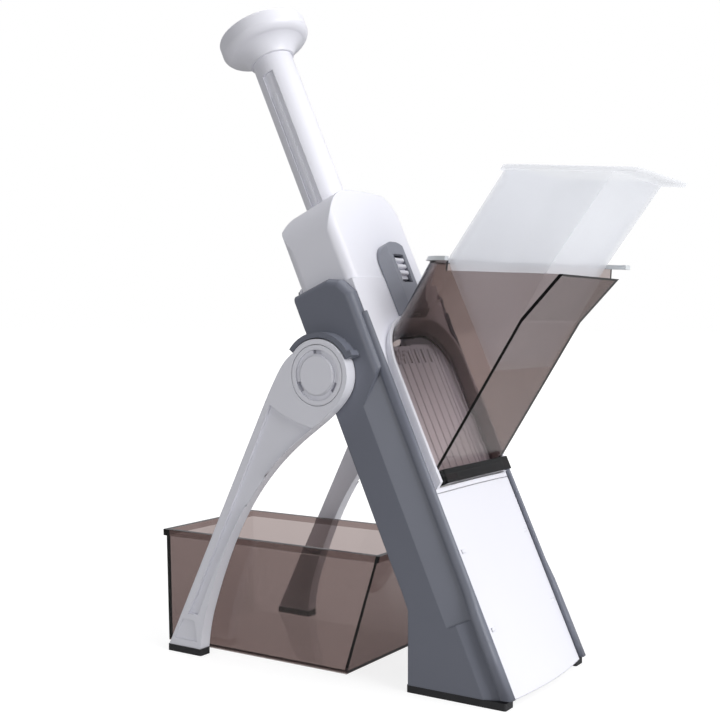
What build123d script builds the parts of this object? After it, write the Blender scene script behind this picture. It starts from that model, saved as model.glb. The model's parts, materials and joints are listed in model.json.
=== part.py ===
from build123d import *
import os

# Upright mandoline slicer: a leaning body on two folding legs, with a sprung plunger that drives
# a blade carriage down past the mouth of a smoked feed chute. Slices drop into a catch container.
#
# Row frame: origin on the table at the centre of the footprint box, +Z up, -Y is the front
# (the chute side), X is the width. The body is drawn upright in its own frame, where y = 0 is the
# plane of the rails' front edges and z runs up the body, and is then leaned back by LEAN.

LEAN = 24.3              # degrees that the body leans back
ORIGIN_Y = 90.84         # from the body frame's origin to the centre of the footprint box

# body frame, in millimetres
RAIL_OUT = 52.5          # outer side face of each rail
RAIL_IN = 45.7           # inner side face of each rail
RAIL_FRONT = -1.5
RAIL_REAR = 36.0
RAIL_TOP = 254.5
FOOT_REAR = 60.0         # level length of each rail's foot
PAD = 4.0                # rubber under the rails and the legs
SHELL = 2.4              # wall of the white mouldings
SHELL_OUT = 45.4
BOW = 3.0                # how far the white front bulges forward at its centre
HOOD_HALF = 41.8
HOOD_TOP = 308.0
HOOD_ROUND = 26.0
HOOD_REAR = 41.0
HOOD_BASE = 216.0
MOUTH_LOW = 127.0        # mouth of the chute in the white front
MOUTH_TOP = 217.0
PANEL_TOP = 118.5
LIP_DROP = 5.0           # lip that hangs below the chute at the mouth

CHUTE_HALF = 40.0
CHUTE_WALL = 2.0
CHUTE_ROUND = 28.0
CHUTE_PITCH = 34.0       # the chute rises this much from the body's normal
RIM_Z = 230.5            # height of the chute's rim above the table, on the axis y = RIM_Y
RIM_Y = 40.0
RIM_TILT = 3.0           # degrees that the rim dips to the front
FLANGE_TILT = 5.5        # degrees that the pusher's flange dips to the front
NECK = 5.5               # rise of the neck at the rear and right of the rim
PUSHER_HALF = 37.0
PUSHER_LOW = 130.4
PUSHER_CROWN = 200.5
PUSHER_TOP_Z = 285.0
PUSHER_FACE = -57.0      # end face of the pusher, parallel to the body's front
PUSHER_BEND_Z = 233.0    # height above the table at which the pusher bends forward
PUSHER_PITCH = 29.5      # its slope above the bend

ROD_Y = 23.0             # axis of the plunger
ROD_R = 13.0
ROD_WALL = 3.0
ROD_FIT = 0.05           # radial running clearance of the plunger in its bushing
SLOT_LOW = 296.0         # rear slot, through which the spring seat reaches in
SLOT_TOP = 403.0
SLOT_WIDTH = 5.6
GROOVE_TOP = 404.0       # blind groove down each side
GROOVE_DEPTH = 1.5
KNOB_R = 28.5
KNOB_LOW = 415.0
KNOB_RIM = 425.5
KNOB_TOP = 436.5

HINGE_Y = 114.7          # leg hinge, in the untilted frame before centring
HINGE_Z = 172.8
HEAD_R = 20.5
LEG_IN = 52.8
LEG_OUT = 61.4
PIN_R = 8.0
PIN_FIT = 0.05

BOX_WALL = 2.0
BOX_HALF = 44.0
BOX_HEIGHT = 71.0

# blade carriage, in the body frame
CARRIAGE_FRONT = 8.0
CARRIAGE_REAR = 27.9
CARRIAGE_LOW = 122.0
YOKE_LOW = 262.0         # underside of the yoke that the plunger pushes
YOKE_TOP = 270.0
WEB_STEP = 240.0         # above this height the carriage is narrower, to pass inside the hood
RUNNER_HALF = 42.0
WEB_HALF = 39.0
DIAL_X = 18.0
DIAL_Z = 146.0
DIAL_R = 12.0
DIAL_REAR = 35.0
DECK_HALF = 36.0
DECK_FRONT = 4.6
BLADE_FRONT = 6.8        # the blade lies between the deck and its holder
BLADE_REAR = 7.8
BLADE_TOP = 240.0
RIVET_X = 28.0
RIVET_Z = 233.0
RIVET_R = 2.0
HOLDER_REAR = 11.0
RAMP_REAR = 11.0
TOOTH_X = [8 * i - 28 for i in range(8)]
TOOTH_LOW = 200.5
TOOTH_TOP = 207.5

# spring seat inside the plunger
SEAT_LOW = 296.5
SEAT_TOP = 301.5
SEAT_HALF = 2.2

parts = {}


def keep(name, solid):
    """Store one named sub-part, moved so that the origin is the centre of the footprint."""
    parts[name] = Pos(0, -ORIGIN_Y, 0) * solid


def keep_leaning(name, solid):
    """Store a sub-part that was drawn in the body frame."""
    keep(name, Rot(-LEAN, 0, 0) * solid)


def prism_x(points, x_from, x_to):
    """Extrude a (y, z) outline along X."""
    face = make_face(Polyline(*points, close=True))
    return extrude(Plane.YZ.offset(x_from) * face, amount=x_to - x_from)


def plate_x(face, x_from, x_to):
    """Extrude a ready (y, z) face along X."""
    return extrude(Plane.YZ.offset(x_from) * face, amount=x_to - x_from)


def plate_y(face, y_from, y_to):
    """Extrude a ready (x, z) face along Y."""
    return extrude(Plane.XZ.offset(-y_to) * face, amount=y_to - y_from)


def block(x, y, z):
    """A box given by its (from, to) ranges."""
    size = [pair[1] - pair[0] for pair in (x, y, z)]
    middle = [(pair[0] + pair[1]) / 2 for pair in (x, y, z)]
    return Pos(*middle) * Box(*size)


def span(side, near, far):
    """The x range between two distances from the middle, on the side -1 or +1."""
    return tuple(sorted((side * near, side * far)))


def rod_x(y, z, radius, x_from, x_to):
    """A cylinder along X."""
    return Pos((x_from + x_to) / 2, y, z) * Rot(0, 90, 0) * Cylinder(radius, abs(x_to - x_from))


def rod_y(x, z, radius, y_from, y_to):
    """A cylinder along Y."""
    return Pos(x, (y_from + y_to) / 2, z) * Rot(90, 0, 0) * Cylinder(radius, y_to - y_from)


def rod_z(x, y, radius, z_from, z_to):
    """A cylinder along Z."""
    return Pos(x, y, (z_from + z_to) / 2) * Cylinder(radius, z_to - z_from)


def right(solid):
    """The mirror image of a left-hand sub-part."""
    return mirror(solid, about=Plane.YZ)


def above_pads(solid):
    """Cut a leaning solid off level, at the top of the rubber pads."""
    half_space = Rot(LEAN, 0, 0) * block((-90, 90), (-300, 300), (PAD, 500))
    return solid & half_space


def to_body(y, z):
    """A point of the upright (y, z) plane, in the body frame."""
    point = Vector(0, y, z).rotate(Axis.X, LEAN)
    return (point.Y, point.Z)


def arch(half, low, top, radius):
    """An (x, z) face with square lower corners and round upper corners."""
    outline = Polyline((-half, top - radius), (-half, low), (half, low), (half, top - radius))
    crown = [
        RadiusArc((half, top - radius), (half - radius, top), -radius),
        Line((half - radius, top), (radius - half, top)),
        RadiusArc((radius - half, top), (-half, top - radius), -radius),
    ]
    return make_face([*outline.edges(), *crown])


# ---------------------------------------------------------------- body: rails, hood, panels

def rail():
    """Left-hand side rail: a leaning plate with a level foot and a bevelled front flank."""
    outline = [
        to_body(2.0, PAD),
        (RAIL_FRONT, 241.0),
        (3.5, 250.5),
        (11.0, RAIL_TOP),
        (RAIL_REAR, RAIL_TOP + 0.5),
        (RAIL_REAR, 91.0),
        to_body(FOOT_REAR + 4.0, 55.0),
        to_body(FOOT_REAR, 45.0),
        to_body(FOOT_REAR, PAD),
    ]
    solid = prism_x(outline, -RAIL_OUT, -RAIL_IN)
    outer_edges = solid.edges().group_by(Axis.X)[0]
    solid = fillet(outer_edges.filter_by(lambda e: e.center().Z > 100 and e.center().Y < 30), 4.5)
    lug_y, lug_z = to_body(HINGE_Y, HINGE_Z)
    solid += rod_x(lug_y, lug_z, HEAD_R - 1.0, -RAIL_OUT, -RAIL_IN)
    # the front flank is bevelled, wider above than below, and the bevel ends on a slant
    edge = -47.6
    corner = [(-RAIL_OUT - 1, RAIL_FRONT - 1), (edge, RAIL_FRONT - 1), (edge, 0)]
    wide = [*corner, (-RAIL_OUT, 17.0), (-RAIL_OUT - 1, 20.0)]
    narrow = [*corner, (-RAIL_OUT, 11.0), (-RAIL_OUT - 1, 13.0)]
    below_slant = Pos(0, 0, 194) * Rot(-42, 0, 0) * block((-60, -40), (-400, 400), (-300, 0))
    bevel = Pos(0, 0, 50) * extrude(make_face(Polyline(*wide, close=True)), amount=170)
    solid -= bevel & below_slant
    solid -= extrude(make_face(Polyline(*narrow, close=True)), amount=51)
    solid -= rod_x(lug_y, lug_z, PIN_R, -RAIL_OUT - 1, -RAIL_IN + 1)
    return solid


def stop_arc():
    """Left-hand stop over the hinge: a raised arc on the rail that ends in a square block."""
    def sector(r_in, r_out, start, end):
        span = end - start
        outer = CenterArc((0, 0), r_out, start, span)
        inner = CenterArc((0, 0), r_in, start, span)
        sides = [Line(outer @ 0, inner @ 0), Line(outer @ 1, inner @ 1)]
        return make_face([outer, inner, *sides])

    inner = HEAD_R + 0.7
    outer = HEAD_R + 3.8
    proud = -60.5
    band = plate_x(sector(inner, outer, 36, 150), proud, -RAIL_OUT)
    web = plate_x(sector(HEAD_R - 2.0, outer, 36, 150), -RAIL_OUT, -RAIL_IN - 0.3)
    end = plate_x(sector(inner, HEAD_R + 5.6, 146, 154), proud, -RAIL_OUT)
    return Rot(LEAN, 0, 0) * Pos(0, HINGE_Y, HINGE_Z) * (band + web + end)


def rail_pad():
    """Left-hand rubber pad under a rail."""
    sole = block((-RAIL_OUT, -RAIL_IN + 3.0), (1.0, FOOT_REAR + 1.0), (0, PAD))
    return fillet(sole.edges().filter_by(Axis.Z), 1.2)


def hood(inset):
    """Closed top of the white housing, grown inwards by an inset."""
    half = HOOD_HALF - inset
    side_y = RAIL_FRONT + 1.5 + inset
    rear_y = HOOD_REAR - 4.0 - inset
    front = ThreePointArc((-half, side_y), (0, RAIL_FRONT - BOW + inset), (half, side_y))
    rear = ThreePointArc((half, rear_y), (0, HOOD_REAR - inset), (-half, rear_y))
    sides = [Line((x, side_y), (x, rear_y)) for x in (-half, half)]
    plan = make_face([front, rear, *sides])
    column = Pos(0, 0, HOOD_BASE + inset) * extrude(plan, amount=HOOD_TOP - HOOD_BASE)
    column = fillet(column.edges().filter_by(Axis.Z), 6.5 - inset)
    crown = arch(half, HOOD_BASE + inset, HOOD_TOP - inset, HOOD_ROUND - inset)
    profile = [
        (-12, HOOD_BASE),
        (-12, HOOD_TOP - 1.5 - inset),
        (6, HOOD_TOP - inset),
        (HOOD_REAR - 8 - inset, HOOD_TOP - 2 - inset),
        (HOOD_REAR - 1.5 - inset, HOOD_TOP - 12 - inset),
        (HOOD_REAR + 1 - inset, 262),
        (HOOD_REAR + 1 - inset, HOOD_BASE),
    ]
    return column & plate_y(crown, -12, HOOD_REAR + 2) & prism_x(profile, -HOOD_HALF, HOOD_HALF)


def bowed(inset, low=0.0, top=HOOD_TOP + 5):
    """The space behind the bowed white front."""
    half = SHELL_OUT
    flat = RAIL_FRONT + inset
    front = ThreePointArc((-half, flat), (0, flat - BOW), (half, flat))
    back = Polyline((half, flat), (half, 60), (-half, 60), (-half, flat))
    return Pos(0, 0, low) * extrude(make_face([front, *back.edges()]), amount=top - low)


def main_housing():
    """White housing: hood on top, then two side walls with a cross bar at the foot."""
    shoulder = RAIL_TOP - 5
    inside = SHELL_OUT - SHELL
    solid = block((-SHELL_OUT, SHELL_OUT), (-12, 34), (-20, shoulder)) & bowed(0, low=-20)
    solid += hood(0)
    solid -= hood(SHELL)
    hollow = block((-inside, inside), (-12, 50), (-20, shoulder - SHELL))
    solid -= hollow & bowed(SHELL, low=-20)
    clear = HOOD_HALF - SHELL
    solid -= block((-clear, clear), (4, HOOD_REAR - 8), (HOOD_BASE - 4, HOOD_BASE + 60))
    # the removable front panel fills this gap
    solid -= block((-SHELL_OUT, SHELL_OUT), (-12, RAIL_FRONT + SHELL + 0.2), (-40, PANEL_TOP + 0.3))
    # raised collar round the mouth, and the mouth itself
    collar = 2.8
    gap = 0.5
    ring = arch(CHUTE_HALF + collar, MOUTH_LOW - LIP_DROP - 2.4, MOUTH_TOP + collar, CHUTE_ROUND + collar)
    hole = arch(CHUTE_HALF + gap, MOUTH_LOW - gap, MOUTH_TOP + gap, CHUTE_ROUND + gap)
    solid += along_chute(ring, -6.3, 0.5)
    solid -= along_chute(hole, -20, 4)
    solid -= block((-CHUTE_HALF, CHUTE_HALF), (-20, 4), (MOUTH_LOW - LIP_DROP - gap, MOUTH_LOW + 4))
    # rear lips that hold the carriage guides
    for side in (-1, 1):
        solid += block(span(side, 38.6, SHELL_OUT - 1), (31.6, 34), (14, HOOD_BASE + 20))
    foot_bar = block((-SHELL_OUT, SHELL_OUT), (3, 32), (-10, 14))
    solid += above_pads(foot_bar)
    solid = above_pads(solid)
    # hole for the plunger, and the rear service window
    solid -= rod_z(0, ROD_Y, ROD_R + 0.4, HOOD_TOP - 20, HOOD_TOP + 5)
    solid -= block((-31, 31), (HOOD_REAR - 8, HOOD_REAR + 2), (HOOD_BASE + 4, 262))
    # pocket where the lock slider runs
    solid -= block((-5.5, 5.5), (-12, 2), (242.5, 261.5))
    return solid.solids().sort_by(SortBy.VOLUME)[-1]


def front_panel():
    """Bowed white panel that closes the lower front, with two stiffening ribs behind."""
    width = SHELL_OUT - 0.1
    skin = (bowed(0, low=-10, top=PANEL_TOP) - bowed(SHELL, low=-20, top=PANEL_TOP + 5))
    skin = skin & block((-width, width), (-12, RAIL_FRONT + SHELL), (-10, PANEL_TOP))
    for z in (40, 84):
        skin += block((-41, 41), (-2.6, -0.2), (z, z + 2))
    return above_pads(skin)


def rear_cover():
    """Service cover at the back of the hood, with a rim that drops into the window."""
    plate = block((-34, 34), (HOOD_REAR, HOOD_REAR + 2), (HOOD_BASE + 1, 264))
    plate = fillet(plate.edges().filter_by(Axis.Y), 6)
    rim = block((-30.7, 30.7), (HOOD_REAR - 2.2, HOOD_REAR), (HOOD_BASE + 4.3, 261.7))
    rim -= block((-28.7, 28.7), (HOOD_REAR - 3, HOOD_REAR), (HOOD_BASE + 6.3, 259.7))
    return plate + rim


def cover_screws():
    """Four screw heads on the rear cover."""
    heads = []
    for x in (-30, 30):
        for z in (HOOD_BASE + 5, 260):
            head = rod_y(x, z, 2.6, HOOD_REAR + 2, HOOD_REAR + 3.6)
            recess = (HOOD_REAR + 2.9, HOOD_REAR + 4)
            head -= block((x - 1.6, x + 1.6), recess, (z - 0.4, z + 0.4))
            head -= block((x - 0.4, x + 0.4), recess, (z - 1.6, z + 1.6))
            heads.append(head)
    return Part() + heads


def latch_cover():
    """Raised lozenge on the front of the hood, with a slot for the lock slider."""
    half = 15.0
    low = 222.5
    top = 270.5
    front = -10.5
    outer = plate_y(arch(half, low, top, 13.0), front, RAIL_FRONT)
    for side in (-1, 1):
        beyond = side * (half + 1.5)
        flank = [(beyond, front - 1), (side * (half - 6.5), front - 1), (side * half, front + 5.5),
                 (beyond, front + 5.5)]
        outer -= Pos(0, 0, low - 5) * extrude(make_face(Polyline(*flank, close=True)), amount=60)
    outer -= bowed(-0.05, low=200)
    outer -= plate_y(arch(half - 7.5, low + 3, top - 5.0, 4.0), front + 2.2, 2)
    outer -= block((-5.6, 5.6), (front - 1, front + 3), (244.0, 262.2))
    # the lower end is cut back along the slope of the chute
    slope = Pos(0, RAIL_FRONT - BOW, low + 1.5) * Rot(-CHUTE_PITCH, 0, 0)
    return outer - slope * block((-20, 20), (-40, 3), (-30, 0))


def latch_slider():
    """White slider behind the slot, with three finger ribs."""
    base = block((-6.2, 6.2), (-8.0, -6.2), (247.0, 261.0))
    for z in (250.6, 254.7, 258.8):
        rib = block((-4.9, 4.9), (-10.4, -8.0), (z - 1.3, z + 1.3))
        base += fillet(rib.edges().filter_by(Axis.X).group_by(Axis.Y)[0], 0.9)
    stem = block((-4.0, 4.0), (-6.2, 1.0), (250.0, 256.0))
    return base + stem


def plunger_bushing():
    """Sleeve under the hood's top that the plunger runs in."""
    sleeve = rod_z(0, ROD_Y, ROD_R + 2.6, 284, HOOD_TOP) & hood(SHELL + 0.02)
    sleeve -= rod_z(0, ROD_Y, ROD_R + ROD_FIT, 280, HOOD_TOP + 1)
    return sleeve - block((-SEAT_HALF, SEAT_HALF), (ROD_Y, HOOD_REAR), (SEAT_LOW, SEAT_TOP))


def spring_seat():
    """Seat for the spring inside the plunger, on an arm that reaches in through the rear slot."""
    arm = block((-SEAT_HALF, SEAT_HALF), (ROD_Y, ROD_Y + ROD_R + 0.1), (SEAT_LOW, SEAT_TOP))
    return arm + rod_z(0, ROD_Y, 8.8, SEAT_TOP - 2, SEAT_TOP)


def return_spring():
    """Compression spring inside the hollow plunger."""
    wire = 0.7
    path = Helix(pitch=8.6, height=110.0, radius=6.6)
    section = Plane(origin=path @ 0, z_dir=path % 0) * Circle(wire)
    coil = sweep(section, path=path, is_frenet=True)
    return Pos(0, ROD_Y, SEAT_TOP + wire + 0.2) * coil


def guide_channel():
    """Left-hand channel in which the carriage's runner slides."""
    outer = block((-SHELL_OUT + SHELL, -36.6), (2.4, 31.6), (14, 276))
    groove = block((-42.3, -30), (5.2, 28.3), (0, 300))
    front_relief = block((-40.9, -30), (0, 6), (MOUTH_LOW - 4, MOUTH_TOP + 4))
    return above_pads((outer - groove - front_relief) & hood_room())


def hood_room():
    """The free space inside the hood and the lower body."""
    inner = HOOD_HALF - SHELL
    room = block((-SHELL_OUT + SHELL, SHELL_OUT - SHELL), (0.6, 31.6), (0, HOOD_BASE + 20))
    room += block((-inner, inner), (5.0, 31.6), (HOOD_BASE + 10, 285))
    return room


def hinge_pin():
    """Left-hand hinge pin, pressed into the rail, with a flange inside it."""
    y, z = to_body(HINGE_Y, HINGE_Z)
    return rod_x(y, z, PIN_R, -LEG_OUT + 3.1, -RAIL_IN - 0.1)


def hinge_cap():
    """Left-hand hinge cap: a raised boss, a ring groove and three snap windows."""
    cap = rod_x(0, 0, 17.2, -LEG_OUT, -LEG_OUT + 3.1)
    ring = (-LEG_OUT - 1, -LEG_OUT + 1)
    groove = rod_x(0, 0, 14.4, *ring) - rod_x(0, 0, 11.6, *ring)
    boss = rod_x(0, 0, 11.0, -LEG_OUT - 0.6, -LEG_OUT)
    cap = cap - groove + boss
    for angle in (90, 210, 330):
        window = block((-LEG_OUT - 1, -LEG_OUT + 5), (12.2, 14.2), (-2.9, 2.9))
        cap -= Rot(angle, 0, 0) * window
    y, z = to_body(HINGE_Y, HINGE_Z)
    return Pos(0, y, z) * Rot(LEAN, 0, 0) * cap


# ---------------------------------------------------------------- plunger and blade carriage

def push_knob():
    """Mushroom knob: a flared neck, a thick rim and a slightly domed top."""
    inner = ROD_R + 1.4
    flare_r = inner + 9.0
    edge_r = 1.8
    recess_r = 21.5
    recess_z = KNOB_TOP - 1.4
    socket_z = KNOB_LOW + 6
    neck = Polyline((0, socket_z), (ROD_R, socket_z), (ROD_R, KNOB_LOW), (inner, KNOB_LOW))
    flare = ThreePointArc((inner, KNOB_LOW), (inner + 3.0, KNOB_LOW + 4.6), (flare_r, KNOB_RIM - 1.8))
    lip = ThreePointArc((flare_r, KNOB_RIM - 1.8), (KNOB_R - 1.2, KNOB_RIM + 0.3), (KNOB_R, KNOB_RIM + 2.6))
    wall = Line((KNOB_R, KNOB_RIM + 2.6), (KNOB_R, KNOB_TOP - edge_r))
    edge = RadiusArc((KNOB_R, KNOB_TOP - edge_r), (KNOB_R - edge_r, KNOB_TOP), -edge_r)
    top = Polyline((KNOB_R - edge_r, KNOB_TOP), (recess_r, KNOB_TOP), (recess_r, recess_z), (0, recess_z),
                   (0, socket_z))
    profile = [*neck.edges(), flare, lip, wall, edge, *top.edges()]
    knob = revolve(Plane.XZ * make_face(profile), Axis.Z)
    return Pos(0, ROD_Y, 0) * knob


def knob_insert():
    """Disc let into the top of the knob."""
    disc = rod_z(0, ROD_Y, 21.3, KNOB_TOP - 1.4, KNOB_TOP - 0.1)
    return fillet(disc.edges().group_by(Axis.Z)[-1], 0.5)


def plunger_rod():
    """Hollow plunger with a ribbed blind groove down each side and a slot at the rear."""
    tube = rod_z(0, ROD_Y, ROD_R, YOKE_LOW, KNOB_LOW + 6)
    tube -= rod_z(0, ROD_Y, ROD_R - ROD_WALL, YOKE_TOP + 2, KNOB_LOW + 0.5)
    core = rod_z(0, ROD_Y, ROD_R - GROOVE_DEPTH, YOKE_LOW - 12, KNOB_LOW + 9)
    for side in (-1, 1):
        groove = block(span(side, 5, 20), (ROD_Y - 4.6, ROD_Y + 3.4), (YOKE_TOP, GROOVE_TOP))
        rib = block(span(side, 5, 12.2), (ROD_Y - 1.3, ROD_Y + 0.9), (YOKE_TOP, GROOVE_TOP - 14))
        tube -= groove - core - rib
    return tube - block((-SLOT_WIDTH / 2, SLOT_WIDTH / 2), (ROD_Y + 5, ROD_Y + 20), (SLOT_LOW, SLOT_TOP))


def carriage_frame():
    """White frame that the plunger pushes: runners, a top yoke and two cross bars behind."""
    depth = (CARRIAGE_FRONT, CARRIAGE_REAR)
    solid = block((-WEB_HALF, WEB_HALF), depth, (YOKE_LOW, YOKE_TOP))
    solid += block((-28, 28), (CARRIAGE_FRONT, ROD_Y + ROD_R + 0.4), (YOKE_LOW, YOKE_TOP))
    for side in (-1, 1):
        solid += block(span(side, 38.2, RUNNER_HALF), (5.6, CARRIAGE_REAR), (CARRIAGE_LOW, WEB_STEP))
        solid += block(span(side, 36.2, 39.8), depth, (CARRIAGE_LOW, WEB_STEP))
        solid += block(span(side, 36.2, WEB_HALF), depth, (WEB_STEP, YOKE_LOW))
    solid += block((-38, 38), (24, CARRIAGE_REAR), (132, 160))
    solid += block((-38, 38), (12, CARRIAGE_REAR), (CARRIAGE_LOW, CARRIAGE_LOW + 4))
    solid += block((-38, 38), (HOLDER_REAR, 16.0), (228, YOKE_LOW))
    solid -= block((-30, 30), (12.6, 20), (232, 258))
    for x in (-DIAL_X, DIAL_X):
        solid -= rod_y(x, DIAL_Z, 3.0, 20, 30)
    return solid - rod_z(0, ROD_Y, ROD_R, YOKE_LOW - 2, YOKE_TOP + 2)


def deck_plate():
    """Upper deck above the blade, which closes the mouth as the carriage goes down."""
    plate = block((-DECK_HALF, DECK_HALF), (DECK_FRONT, BLADE_FRONT), (226, 264))
    for x in range(-30, 31, 6):
        plate += block((x - 0.8, x + 0.8), (DECK_FRONT - 0.6, DECK_FRONT), (229, 262))
    return plate


def blade():
    """Slicing blade with a slanted, bevelled lower edge."""
    outline = Polyline((-DECK_HALF, BLADE_TOP), (DECK_HALF, BLADE_TOP), (DECK_HALF, 221.5),
                       (-DECK_HALF, 214.5), close=True)
    steel = plate_y(make_face(outline), BLADE_FRONT, BLADE_REAR)
    bevel = Pos(0, BLADE_FRONT - 0.1, 218) * Rot(0, -5.55, 0) * Rot(14, 0, 0)
    steel -= bevel * block((-60, 60), (-3, 0), (-6, 3.5))
    return steel - rivets(BLADE_FRONT - 1, BLADE_REAR + 1)


def rivets(y_from, y_to):
    """The pair of rivets through the blade, between two depths."""
    return Part() + [rod_y(x, RIVET_Z, RIVET_R, y_from, y_to) for x in (-RIVET_X, RIVET_X)]


def blade_holder():
    """Backing bar that clamps the blade to the deck, with the rivets through it."""
    bar = block((-DECK_HALF, DECK_HALF), (BLADE_REAR, HOLDER_REAR), (229, BLADE_TOP))
    return bar - rivets(BLADE_REAR - 1, HOLDER_REAR + 1)


def ramp_plate():
    """Ribbed plate below the blade that sets the slice thickness."""
    front = RAMP_REAR - 2.4
    plate = block((-35.8, 35.8), (front, RAMP_REAR), (129, 211.5))
    for x in range(-32, 33, 8):
        plate += block((x - 0.9, x + 0.9), (front - 0.6, front), (131, 209.5))
    for x in TOOTH_X:
        plate -= block((x - 1.0, x + 1.0), (front - 2, RAMP_REAR + 1), (TOOTH_LOW - 1, TOOTH_TOP + 1))
    return plate


def julienne_comb():
    """Row of upright teeth on a bar behind the ramp."""
    bar_front = 16.5
    comb = block((-33, 33), (bar_front, bar_front + 2), (197, 210))
    for x in TOOTH_X:
        comb += block((x - 0.4, x + 0.4), (8.8, bar_front), (TOOTH_LOW, TOOTH_TOP))
    return comb


def dial(x):
    """Fluted knob on the back of the carriage, with a short spindle through the cross bar."""
    knob = rod_y(x, DIAL_Z, DIAL_R, CARRIAGE_REAR + 0.3, DIAL_REAR)
    for i in range(12):
        flute = rod_y(0, DIAL_R + 1.0, 1.9, CARRIAGE_REAR - 1, DIAL_REAR + 1)
        knob -= Pos(x, 0, DIAL_Z) * Rot(0, 30 * i, 0) * flute
    knob += block((x - 1.4, x + 1.4), (DIAL_REAR, DIAL_REAR + 1.4), (DIAL_Z - 5, DIAL_Z + 10))
    return knob + rod_y(x, DIAL_Z, 2.95, 22.0, CARRIAGE_REAR + 0.3)


# ---------------------------------------------------------------- chute, pusher

def slope_z(y, pitch=CHUTE_PITCH):
    """Rise of a slope between the mouth plane and the plane at y."""
    slope = Vector(0, -1, 0).rotate(Axis.X, -pitch)
    return y * slope.Z / slope.Y


def along_chute(face, y_from, y_to, pitch=CHUTE_PITCH):
    """Extrude an (x, z) face of the mouth plane along the chute's slope, between two planes."""
    slope = Vector(0, -1, 0).rotate(Axis.X, -pitch)
    start = Pos(0, y_to, slope_z(y_to, pitch)) * (Plane.XZ * face)
    return extrude(start, amount=(y_to - y_from) / abs(slope.Y), dir=slope)


def rim_slab(low, top, y=(-300, 300), x=(-90, 90)):
    """The space between two planes parallel to the rim, measured up from the rim."""
    tilt = Rot(LEAN, 0, 0) * Pos(0, RIM_Y, RIM_Z) * Rot(RIM_TILT, 0, 0)
    return tilt * block(x, y, (low, top))


def flange_slab(low, top):
    """The space between two planes parallel to the pusher's flange, measured from its top."""
    tilt = Rot(LEAN, 0, 0) * Pos(0, 0, PUSHER_TOP_Z) * Rot(FLANGE_TILT, 0, 0)
    return tilt * block((-90, 90), (-300, 300), (low, top))


def chute_solid(inset, mouth_y):
    """Solid chute, grown inwards by an inset: a sloped arch with a lip that kicks forward."""
    half = CHUTE_HALF - inset
    low = MOUTH_LOW + inset * 1.2
    solid = along_chute(arch(half, low, MOUTH_TOP - inset * 1.2, CHUTE_ROUND - inset), -150, mouth_y)
    bend_y = -84.4
    bend_z = low + slope_z(bend_y)
    kick = [(bend_y, bend_z), (bend_y - 40.0, bend_z + 16.5), (bend_y - 40.0, bend_z + 60.0),
            (bend_y, bend_z + 60.0)]
    return solid + prism_x(kick, -half, half)


def neck_zone(low, top, reach):
    """Where the rim stands higher: along the rear, and along the right-hand side."""
    rear = rim_slab(low, top, y=(4, 90))
    flank = rim_slab(low, top, y=(-reach, 90), x=(CHUTE_HALF - 5.0, 90))
    return rear + flank


def feed_chute():
    """Smoked feed chute, open at the rim and at the mouth."""
    outer = chute_solid(0, 2.2)
    walls = (outer & rim_slab(-400, 0)) + (outer & neck_zone(-1, NECK, 60))
    walls += block((-CHUTE_HALF + 0.5, CHUTE_HALF - 0.5), (-9.0, 2.2), (MOUTH_LOW - LIP_DROP, MOUTH_LOW + 3))
    walls -= chute_solid(CHUTE_WALL, 10)
    return walls.solids().sort_by(SortBy.VOLUME)[-1]


def rim_trim():
    """Pale flange along the raised neck, at the rear and the right of the rim."""
    return (chute_solid(-2.2, 2.2) & neck_zone(NECK, NECK + 2.4, 70)) - chute_solid(CHUTE_WALL, 10)


def level_slab(low, top):
    """The space between two heights above the table."""
    return Rot(LEAN, 0, 0) * block((-90, 90), (-400, 400), (low, top))


def re_pitched(z):
    """Mouth-plane height of a wall that keeps its place at the bend and slopes by PUSHER_PITCH."""
    wall_y, wall_z = to_body(0, PUSHER_BEND_Z)
    run = Vector(0, 1, 0).rotate(Axis.X, LEAN)
    rise = slope_z(1) * run.Y - run.Z
    along = (z + slope_z(wall_y) - wall_z) / -rise
    y = wall_y + along * run.Y
    return z + slope_z(y) - slope_z(y, PUSHER_PITCH)


def pusher_solid(inset, low=PUSHER_LOW, crown=PUSHER_CROWN, radius=10.0):
    """Solid pusher, grown inwards by an inset, that bends forward where it leaves the chute."""
    half = PUSHER_HALF - inset
    low += inset * 1.2
    crown -= inset * 1.2
    face = arch(half, low, crown, radius - inset)
    raised = arch(half, re_pitched(low), re_pitched(crown), radius - inset)
    below = along_chute(face, -260, 0) & level_slab(0, PUSHER_BEND_Z)
    above = along_chute(raised, -260, 0, PUSHER_PITCH) & level_slab(PUSHER_BEND_Z, 500)
    return (below + above) & block((-60, 60), (-400, PUSHER_FACE - inset), (0, 600))


def food_pusher():
    """Frosted pusher, open at the top, with a flange that stops on the rim."""
    shell = (pusher_solid(0) & flange_slab(-300, 0)) - pusher_solid(2.0)
    reach = pusher_solid(-2.2, PUSHER_LOW - 11.0, PUSHER_CROWN - 20, 4.0)
    flange = (pusher_solid(-2.2) + reach) & flange_slab(-2.4, 0)
    return shell + (flange - pusher_solid(2.0))


# ---------------------------------------------------------------- legs and container

def leg_outline():
    """Side view of a leg, about its hinge: a straight rear edge and a hollow front edge."""
    sole = PAD - HINGE_Z
    rear = Polyline((111.4, sole), (41.0, -25.6))
    crown = Spline((41.0, -25.6), (28.6, -1.8), (16.6, 12.0), tangents=[(-0.44, 0.9), (-0.85, 0.5)])
    close_top = Line((16.6, 12.0), (-15.5, -13.4))
    hollow = [(-15.5, -13.4), (10.5, -35.6), (40.5, -63.6), (63.7, -99.5), (79.5, -138.0), (86.4, sole)]
    front = Spline(*hollow, tangents=[(0.6, -0.8), (0.1, -1.0)])
    base = Line((86.4, sole), (111.4, sole))
    return make_face([*rear.edges(), crown, close_top, front, base])


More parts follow.
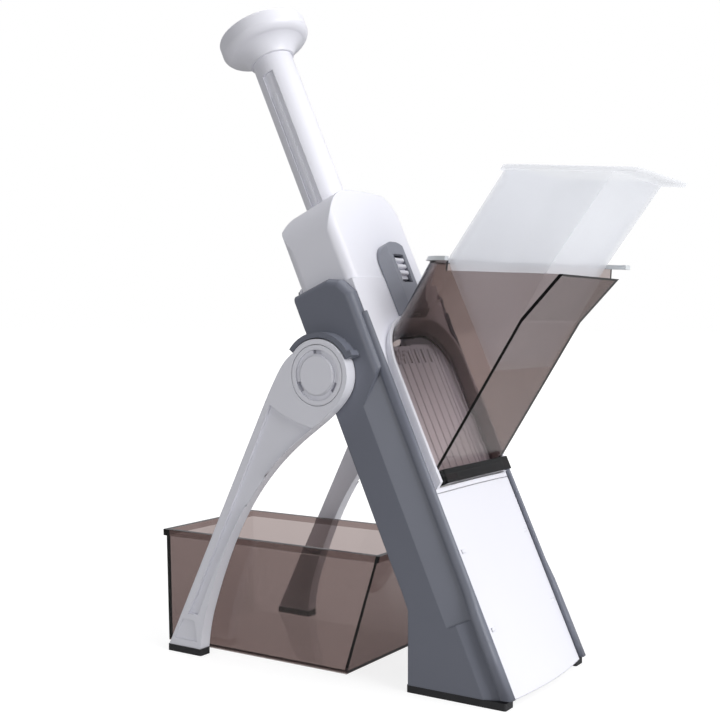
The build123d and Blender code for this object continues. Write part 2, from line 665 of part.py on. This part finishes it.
def leg_recess():
    """Side view of the channel in a leg's outer face."""
    points_rear = [(96.0, -148.0), (47.8, -50.0), (33.0, -18.0)]
    points_front = [(3.0, -30.0), (30.4, -52.4), (56.0, -85.0), (88.5, -148.0)]
    rear = Spline(*points_rear)
    top = ThreePointArc((33.0, -18.0), (20.0, -25.0), (3.0, -30.0))
    front = Spline(*points_front)
    return make_face([rear, top, front, Line((88.5, -148.0), (96.0, -148.0))])


def leg():
    """Left-hand folding leg with a round head, a bordered channel and an end panel."""
    body = plate_x(leg_outline(), -LEG_OUT, -LEG_IN)
    body += rod_x(0, 0, HEAD_R, -LEG_OUT, -LEG_IN)
    channel = plate_x(leg_recess(), -LEG_OUT, -LEG_OUT + 1.8)
    channel -= rod_x(0, 0, HEAD_R + 0.5, -LEG_OUT, -LEG_OUT + 3)
    body -= channel
    panel = [(91.5, -152.0), (100.5, -152.0), (107.0, -164.5), (89.5, -164.5)]
    body -= prism_x(panel, -LEG_OUT, -LEG_OUT + 0.8)
    body -= rod_x(0, 0, 17.5, -LEG_OUT, -LEG_OUT + 3.4)
    body -= rod_x(0, 0, PIN_R + PIN_FIT, -LEG_OUT, -LEG_IN)
    return Pos(0, HINGE_Y, HINGE_Z) * body


def leg_pad():
    """Left-hand rubber pad under a leg."""
    y_from = HINGE_Y + 85.6
    y_to = HINGE_Y + 112.2
    pad = block((-LEG_OUT - 0.4, -LEG_IN), (y_from, y_to), (0, PAD))
    return fillet(pad.edges().filter_by(Axis.Z), 1.2)


def container():
    """Smoked catch container; its front wall slopes so that it tucks under the body."""
    def tub(inset):
        outline = [(106 + inset, inset), (242 - inset, inset), (244 - inset, BOX_HEIGHT + 1),
                   (84 + inset, BOX_HEIGHT + 1)]
        return prism_x(outline, -BOX_HALF + inset, BOX_HALF - inset)

    solid = tub(0) & block((-90, 90), (0, 400), (0, BOX_HEIGHT))
    rim = prism_x([(82.4, BOX_HEIGHT - 4), (245.4, BOX_HEIGHT - 4), (245.4, BOX_HEIGHT), (82.4, BOX_HEIGHT)],
                  -BOX_HALF - 1.4, BOX_HALF + 1.4)
    solid += rim & tub(-1.4)
    return solid - tub(BOX_WALL)


# ---------------------------------------------------------------- all sub-parts

for side_name, flip in (("left", False), ("right", True)):
    leaning = {
        "side_rail": rail() + stop_arc(),
        "guide_channel": guide_channel(),
        "hinge_pin": hinge_pin(),
        "hinge_cap": hinge_cap(),
    }
    level = {"rail_foot_pad": rail_pad(), "leg": leg(), "leg_foot_pad": leg_pad()}
    for name, solid in leaning.items():
        keep_leaning(f"{name}_{side_name}", right(solid) if flip else solid)
    for name, solid in level.items():
        keep(f"{name}_{side_name}", right(solid) if flip else solid)

leaning_parts = {
    "main_housing": main_housing(),
    "front_panel": front_panel(),
    "rear_cover": rear_cover(),
    "cover_screws": cover_screws(),
    "latch_cover": latch_cover(),
    "latch_slider": latch_slider(),
    "plunger_bushing": plunger_bushing(),
    "spring_seat": spring_seat(),
    "return_spring": return_spring(),
    "push_knob": push_knob(),
    "knob_insert": knob_insert(),
    "plunger_rod": plunger_rod(),
    "carriage_frame": carriage_frame(),
    "deck_plate": deck_plate(),
    "slicing_blade": blade(),
    "blade_holder": blade_holder(),
    "blade_screws": rivets(BLADE_FRONT, HOLDER_REAR),
    "ramp_plate": ramp_plate(),
    "julienne_comb": julienne_comb(),
    "thickness_dial": dial(-DIAL_X),
    "julienne_dial": dial(DIAL_X),
    "feed_chute": feed_chute(),
    "chute_rim_trim": rim_trim(),
    "food_pusher": food_pusher(),
}
for name, solid in leaning_parts.items():
    keep_leaning(name, solid)
keep("catch_container", container())

os.makedirs("parts", exist_ok=True)
for name, solid in parts.items():
    export_step(solid, f"parts/{name}.step")

everything = Compound(children=list(parts.values()))
box = everything.bounding_box()
print("box", box.min, box.max)
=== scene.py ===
"""Looks of the upright mandoline slicer: materials, rail fronts, studio and camera."""

import json
import math

import bmesh
import bpy
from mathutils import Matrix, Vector


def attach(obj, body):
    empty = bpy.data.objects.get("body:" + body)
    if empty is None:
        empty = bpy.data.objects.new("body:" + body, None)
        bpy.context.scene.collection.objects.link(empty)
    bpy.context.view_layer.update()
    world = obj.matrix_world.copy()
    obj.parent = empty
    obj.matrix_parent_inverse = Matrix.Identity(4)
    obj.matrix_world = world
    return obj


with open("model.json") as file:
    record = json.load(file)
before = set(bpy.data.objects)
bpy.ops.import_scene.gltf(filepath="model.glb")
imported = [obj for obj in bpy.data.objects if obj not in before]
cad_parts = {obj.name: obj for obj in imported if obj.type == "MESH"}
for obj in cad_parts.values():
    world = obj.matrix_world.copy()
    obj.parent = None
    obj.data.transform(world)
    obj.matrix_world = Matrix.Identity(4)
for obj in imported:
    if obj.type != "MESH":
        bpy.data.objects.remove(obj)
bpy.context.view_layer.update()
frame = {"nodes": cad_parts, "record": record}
MM = 0.001


# ---------------------------------------------------------------- node helpers

class Nodes:
    """The node tree of a material or a world, with short calls for the nodes used here."""

    def __init__(self, holder, output="ShaderNodeOutputMaterial"):
        self.holder = holder
        self.holder.use_nodes = True
        self.tree = holder.node_tree
        self.tree.nodes.clear()
        self.out = self.add(output)

    def add(self, kind, **settings):
        node = self.tree.nodes.new(kind)
        for key, value in settings.items():
            setattr(node, key, value)
        return node

    def link(self, source, target):
        self.tree.links.new(source, target)

    def put(self, socket, value):
        """Link a socket, or set its constant."""
        if isinstance(value, bpy.types.NodeSocket):
            self.link(value, socket)
        else:
            socket.default_value = value

    def noise(self, size, detail=2.0, roughness=0.5, stretch=(1, 1, 1)):
        """Noise whose features are about `size` metres across, fixed to the object."""
        node = self.add("ShaderNodeTexNoise")
        node.inputs["Scale"].default_value = 1.0 / size
        node.inputs["Detail"].default_value = detail
        node.inputs["Roughness"].default_value = roughness
        mapping = self.add("ShaderNodeMapping")
        mapping.inputs["Scale"].default_value = stretch
        self.link(self.add("ShaderNodeTexCoord").outputs["Object"], mapping.inputs["Vector"])
        self.link(mapping.outputs[0], node.inputs["Vector"])
        return node.outputs[0]

    def between(self, factor, low, high, start=0.35, end=0.65):
        """A value that runs from low to high as the factor goes from start to end."""
        node = self.add("ShaderNodeMapRange")
        self.put(node.inputs["Value"], factor)
        ends = {"From Min": start, "From Max": end, "To Min": low, "To Max": high}
        for socket, value in ends.items():
            node.inputs[socket].default_value = value
        return node.outputs[0]

    def colours(self, factor, low, high):
        """A colour between two others."""
        node = self.add("ShaderNodeMix", data_type="RGBA")
        factor_in, low_in, high_in = (node.inputs[i] for i in (0, 6, 7))
        self.put(factor_in, factor)
        self.put(low_in, (*low, 1.0))
        self.put(high_in, (*high, 1.0))
        return node.outputs[2]

    def bump(self, height, depth, normal=None):
        node = self.add("ShaderNodeBump")
        node.inputs["Strength"].default_value = 1.0
        node.inputs["Distance"].default_value = depth
        self.link(height, node.inputs["Height"])
        if normal is not None:
            self.link(normal, node.inputs["Normal"])
        return node.outputs[0]

    def soft_edges(self, radius):
        node = self.add("ShaderNodeBevel", samples=4)
        node.inputs["Radius"].default_value = radius
        return node.outputs[0]

    def principled(self, **values):
        """A Principled shader; an underscore in a key stands for a space."""
        shader = self.add("ShaderNodeBsdfPrincipled")
        for key, value in values.items():
            self.put(shader.inputs[key.replace("_", " ")], value)
        return shader

    def clear(self, colour):
        """A shader that lets light straight through, tinted by the colour."""
        node = self.add("ShaderNodeBsdfTransparent")
        node.inputs["Color"].default_value = (*colour, 1.0)
        return node.outputs[0]

    def absorbing(self, density, colour):
        """Make the inside take light with depth."""
        node = self.add("ShaderNodeVolumeAbsorption")
        self.put(node.inputs["Density"], density)
        node.inputs["Color"].default_value = (*colour, 1.0)
        self.link(node.outputs[0], self.out.inputs["Volume"])

    def mixed(self, factor, first, second):
        node = self.add("ShaderNodeMixShader")
        self.put(node.inputs[0], factor)
        self.link(first, node.inputs[1])
        self.link(second, node.inputs[2])
        return node.outputs[0]

    def seen_directly(self):
        """1 for what the eye sees, also through clear plastic, and 0 for light that bounces."""
        path = self.add("ShaderNodeLightPath")
        either = self.add("ShaderNodeMath", operation="MAXIMUM")
        self.link(path.outputs["Is Camera Ray"], either.inputs[0])
        self.link(path.outputs["Is Transmission Ray"], either.inputs[1])
        return either.outputs[0]

    def finish(self, shader):
        self.link(shader, self.out.inputs["Surface"])
        return self.holder


def material_nodes(name):
    return Nodes(bpy.data.materials.new(name))


# ---------------------------------------------------------------- materials

def moulded(name, light, dark, rough, grain, depth, edge=0.4 * MM):
    """Injection-moulded plastic: slight cloudiness, a fine moulded grain and soft edges."""
    n = material_nodes(name)
    cloud = n.noise(18 * MM, detail=3.0)
    fine = n.noise(grain, detail=2.0, roughness=0.6)
    tone = n.colours(n.between(cloud, 0.0, 1.0, start=0.2, end=0.8), dark, light)
    patches = n.noise(14 * MM, detail=1.0)
    gloss = n.between(patches, rough, rough + 0.03, start=0.2, end=0.8)
    normal = n.bump(fine, depth, normal=n.soft_edges(edge))
    shader = n.principled(Base_Color=tone, Roughness=gloss, Normal=normal)
    return n.finish(shader.outputs[0])


def smoked(name, passed, wall, rough):
    """Clear smoked plastic that absorbs with depth, so that a wall of the given thickness lets
    `passed` through and its edges go nearly black. Lamps pass, so that the inside stays lit."""
    n = material_nodes(name)
    ripple = n.bump(n.noise(26 * MM, detail=1.0), 0.25 * MM)
    gloss = n.between(n.noise(9 * MM, detail=3.0), rough, rough + 0.03)
    glass = n.principled(Roughness=gloss, Normal=ripple)
    glass.inputs["Base Color"].default_value = (1, 1, 1, 1)
    glass.inputs["Transmission Weight"].default_value = 1.0
    glass.inputs["IOR"].default_value = 1.45
    shadow_ray = n.add("ShaderNodeLightPath").outputs["Is Shadow Ray"]
    taken = [-math.log(share) / wall for share in passed]
    most = max(taken)
    density = n.between(shadow_ray, most, 0.0, start=0.0, end=1.0)
    n.absorbing(density, [1 - t / most for t in taken])
    return n.finish(n.mixed(shadow_ray, glass.outputs[0], n.clear((1, 1, 1))))


def metal(name, colour, rough, stretch, depth):
    """Ground or drawn steel with fine lines along one direction."""
    n = material_nodes(name)
    lines = n.noise(1.6 * MM, detail=4.0, stretch=stretch)
    gloss = n.between(lines, rough - 0.06, rough + 0.08)
    tone = n.colours(lines, tuple(0.86 * c for c in colour), colour)
    shader = n.principled(Base_Color=tone, Roughness=gloss, Normal=n.bump(lines, depth))
    shader.inputs["Metallic"].default_value = 1.0
    return n.finish(shader.outputs[0])


def rubber(name):
    n = material_nodes(name)
    fine = n.noise(0.5 * MM, detail=3.0)
    patches = n.noise(7 * MM, detail=3.0)
    tone = n.colours(patches, (0.010, 0.010, 0.012), (0.022, 0.022, 0.025))
    gloss = n.between(fine, 0.5, 0.72)
    shader = n.principled(Base_Color=tone, Roughness=gloss, Normal=n.bump(fine, 0.08 * MM))
    return n.finish(shader.outputs[0])


def frosted(name, colour, clear, glow, rough, taken):
    """Frosted, milky plastic. Its surface lets the share `clear` straight through, and the share
    `glow` of the rest is light from behind. Its depth takes `taken` of the light per metre, so
    that slanted walls look greyer."""
    n = material_nodes(name)
    cloud = n.between(n.noise(30 * MM, detail=2.0), 0.0, 1.0, start=0.2, end=0.8)
    tone = n.colours(cloud, tuple(0.97 * c for c in colour), colour)
    fine = n.noise(0.35 * MM, detail=2.0)
    gloss = n.between(fine, rough - 0.04, rough + 0.05)
    face = n.principled(Base_Color=tone, Roughness=gloss, Normal=n.bump(fine, 0.01 * MM))
    milk = n.add("ShaderNodeBsdfTranslucent")
    n.link(tone, milk.inputs["Color"])
    body = n.mixed(glow, face.outputs[0], milk.outputs[0])
    n.absorbing(taken, (0.02, 0.03, 0.06))
    return n.finish(n.mixed(clear, body, n.clear((0.97, 0.98, 1.0))))


GREY = moulded(
    "grey_plastic", (0.165, 0.175, 0.215), (0.16, 0.17, 0.209),
    rough=0.4, grain=0.35 * MM, depth=0.01 * MM, edge=1.2 * MM,
)
# painted light: a lighter grey than the rails, so that the latch's shaded front looks lit
LATCH_PAINTED_LIGHT = moulded(
    "latch_painted_light", (0.27, 0.28, 0.325), (0.262, 0.272, 0.316),
    rough=0.4, grain=0.35 * MM, depth=0.01 * MM, edge=0.8 * MM,
)
SLOT_MATERIAL = {
    "white_plastic": moulded(
        "white_plastic", (0.81, 0.81, 0.87), (0.805, 0.805, 0.866),
        rough=0.3, grain=0.5 * MM, depth=0.003 * MM, edge=0.9 * MM,
    ),
    "inner_plastic": moulded(
        "inner_plastic", (0.66, 0.66, 0.70), (0.62, 0.62, 0.66),
        rough=0.5, grain=0.4 * MM, depth=0.01 * MM,
    ),
    "grey_plastic": GREY,
    "black_rubber": rubber("black_rubber"),
    "smoked_plastic": smoked("smoked_plastic", (0.46, 0.40, 0.39), wall=2 * MM, rough=0.03),
    "frosted_plastic": frosted(
        "frosted_plastic", (0.97, 0.97, 0.98), clear=0.60, glow=0.55, rough=0.3, taken=14,
    ),
    "pale_trim": moulded(
        "pale_trim", (0.70, 0.73, 0.75), (0.67, 0.70, 0.72),
        rough=0.3, grain=0.5 * MM, depth=0.004 * MM,
    ),
    "blade_steel": metal(
        "blade_steel", (0.62, 0.63, 0.65), rough=0.28, stretch=(1, 30, 30), depth=0.004 * MM,
    ),
    "spring_steel": metal(
        "spring_steel", (0.58, 0.58, 0.60), rough=0.2, stretch=(20, 20, 20), depth=0.002 * MM,
    ),
}
# the latch's cover gets a lighter grey than the rails: painted light that brightens its front,
# which lies in shade
NODE_MATERIAL = {"latch_cover": LATCH_PAINTED_LIGHT}


def dress_cad():
    """Give every carried-over CAD node its material."""
    node_slot = {part["node"]: part["material_slot"] for part in frame["record"]["subparts"]}
    for name, obj in frame["nodes"].items():
        material = NODE_MATERIAL.get(name, SLOT_MATERIAL[node_slot[name]])
        for slot in obj.material_slots:
            slot.material = material


# ---------------------------------------------------------------- fronts of the side rails

# Millimetres in the body's own axes: x across, y back and z up along the leaning body
LEAN = math.radians(24.3)
BODY_ORIGIN_Y = -90.84
NOSE_START = 5.2         # height of its foot over the table, just above the rubber pad
NOSE_INNER = 45.8        # beside the white panel
NOSE_HIDDEN = 47.4       # inner back corner, inside the rail
NOSE_FRONT = -3.95
# height up the body, and how far out the nose reaches there: it widens below the bevel's end
NOSE_STEPS = ((30.0, 51.9), (52.0, 51.4), (64.0, 49.6), (120.0, 49.2), (228.0, 48.9))
NOSE_FOOT = 52.0


def body_point(x, y, z):
    """A point given in millimetres in the leaning body's own axes, in the shared frame."""
    forward = y * math.cos(LEAN) + z * math.sin(LEAN) + BODY_ORIGIN_Y
    up = z * math.cos(LEAN) - y * math.sin(LEAN)
    return Vector((x, forward, up)) * MM


def nose_section(outer):
    """Outline of the nose, from the panel's side round its soft front to the rail's bevel."""
    return [
        (NOSE_INNER, -1.0),
        (NOSE_INNER, NOSE_FRONT + 0.65),
        (NOSE_INNER + 0.4, NOSE_FRONT + 0.2),
        (NOSE_INNER + 1.1, NOSE_FRONT),
        (outer - 1.2, NOSE_FRONT + 0.35),
        (outer - 0.5, NOSE_FRONT + 0.85),
        (outer - 0.1, NOSE_FRONT + 1.75),
        (outer + 0.15, 0.0),
        (outer + 0.25, 1.5),
        (NOSE_HIDDEN, 1.5),
    ]


def rail_nose(name, side):
    """Rounded front facet of a side rail, on the left for side -1 and on the right for 1."""
    def foot_height(y):
        return (NOSE_START + y * math.sin(LEAN)) / math.cos(LEAN)

    form = bmesh.new()
    points = [[(x, y, foot_height(y)) for x, y in nose_section(NOSE_FOOT)]]
    for height, outer in NOSE_STEPS:
        points.append([(x, y, height) for x, y in nose_section(outer)])
    rings = [[form.verts.new(body_point(side * x, y, z)) for x, y, z in ring] for ring in points]
    for low, high in zip(rings, rings[1:]):
        for i in range(len(low)):
            k = (i + 1) % len(low)
            form.faces.new((low[i], low[k], high[k], high[i]))
    form.faces.new(rings[0])
    form.faces.new(rings[-1])
    bmesh.ops.recalc_face_normals(form, faces=form.faces)
    mesh = bpy.data.meshes.new(name)
    form.to_mesh(mesh)
    form.free()
    for face in mesh.polygons:
        face.use_smooth = len(face.vertices) == 4
    mesh.materials.append(GREY)
    nose = bpy.data.objects.new(name, mesh)
    bpy.context.scene.collection.objects.link(nose)
    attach(nose, "frame")


# ---------------------------------------------------------------- studio and camera

FLOOR_HALF = 30.0
FLOOR_NEAR, FLOOR_FAR = 0.2, 0.8     # between these distances the floor fades to plain white
ROOM_TINT = (0.95, 0.96, 1.0)

# name: place, target, (width, height), watts
LAMPS = {
    "front_softbox": ((-0.05, -1.5, 0.8), (0, 0, 0.25), (1.2, 1.4), 26),
    "top_softbox": ((0.2, 0.1, 1.5), (0, 0, 0.1), (1.4, 1.4), 10),
    "left_strip": ((-1.4, 0.05, 0.35), (0, 0, 0.22), (0.12, 0.9), 3.4),
}

EYE = (-0.5912, -0.3488, 0.2012)
VIEW_DIRECTION = (0.83876, 0.54364, -0.03054)
LENS, SENSOR = 57.6, 36.0


def aim(obj, direction):
    """Turn a lamp or a camera so that it looks along the direction."""
    obj.rotation_euler = Vector(direction).to_track_quat("-Z", "Y").to_euler()


def stage_floor():
    """Pale floor whose far part runs into the white background. It shines for the eye, and
    throws only a little of that light back up at the object."""
    mesh = bpy.data.meshes.new("floor")
    form = bmesh.new()
    bmesh.ops.create_grid(form, x_segments=4, y_segments=4, size=FLOOR_HALF)
    form.to_mesh(mesh)
    form.free()
    floor = bpy.data.objects.new("floor", mesh)
    bpy.context.scene.collection.objects.link(floor)
    n = material_nodes("floor")
    distance = n.add("ShaderNodeVectorMath", operation="LENGTH")
    n.link(n.add("ShaderNodeNewGeometry").outputs["Position"], distance.inputs[0])
    far = n.between(distance.outputs["Value"], 0.62, 1.0, start=FLOOR_NEAR, end=FLOOR_FAR)
    matt = n.principled(Roughness=0.8)
    matt.inputs["Base Color"].default_value = (0.9, 0.9, 0.9, 1)
    glow = n.add("ShaderNodeEmission")
    glow.inputs["Color"].default_value = (1, 1, 1, 1)
    brightness = n.between(n.seen_directly(), 0.3, 1.25, start=0.0, end=1.0)
    n.link(brightness, glow.inputs["Strength"])
    mesh.materials.append(n.finish(n.mixed(far, matt.outputs[0], glow.outputs[0])))


def room():
    """White background for the eye, and a soft room, darker on the left, for the light."""
    n = Nodes(bpy.data.worlds.new("studio"), "ShaderNodeOutputWorld")
    split = n.add("ShaderNodeSeparateXYZ")
    n.link(n.add("ShaderNodeTexCoord").outputs["Generated"], split.inputs[0])
    dim = n.add("ShaderNodeBackground")
    dim.inputs["Color"].default_value = (*ROOM_TINT, 1)
    n.link(n.between(split.outputs["X"], 0.19, 0.42, start=-0.7, end=0.5), dim.inputs["Strength"])
    white = n.add("ShaderNodeBackground")
    white.inputs["Color"].default_value = (1, 1, 1, 1)
    shader = n.mixed(n.seen_directly(), dim.outputs[0], white.outputs[0])
    bpy.context.scene.world = n.finish(shader)


def softbox(name, place, target, size, watts):
    data = bpy.data.lights.new(name, "AREA")
    data.shape = "RECTANGLE"
    data.size, data.size_y = size
    data.energy = watts
    lamp = bpy.data.objects.new(name, data)
    lamp.location = place
    aim(lamp, Vector(target) - Vector(place))
    bpy.context.scene.collection.objects.link(lamp)


def camera():
    data = bpy.data.cameras.new("camera")
    data.lens = LENS
    data.sensor_width = SENSOR
    data.clip_start = 0.01
    eye = bpy.data.objects.new("camera", data)
    eye.location = EYE
    aim(eye, VIEW_DIRECTION)
    bpy.context.scene.collection.objects.link(eye)
    bpy.context.scene.camera = eye


dress_cad()
rail_nose("rail_nose_left", -1)
rail_nose("rail_nose_right", 1)
stage_floor()
room()
for lamp_name, (place, target, size, watts) in LAMPS.items():
    softbox(lamp_name, place, target, size, watts)
camera()
bpy.context.scene.view_settings.view_transform = "Standard"
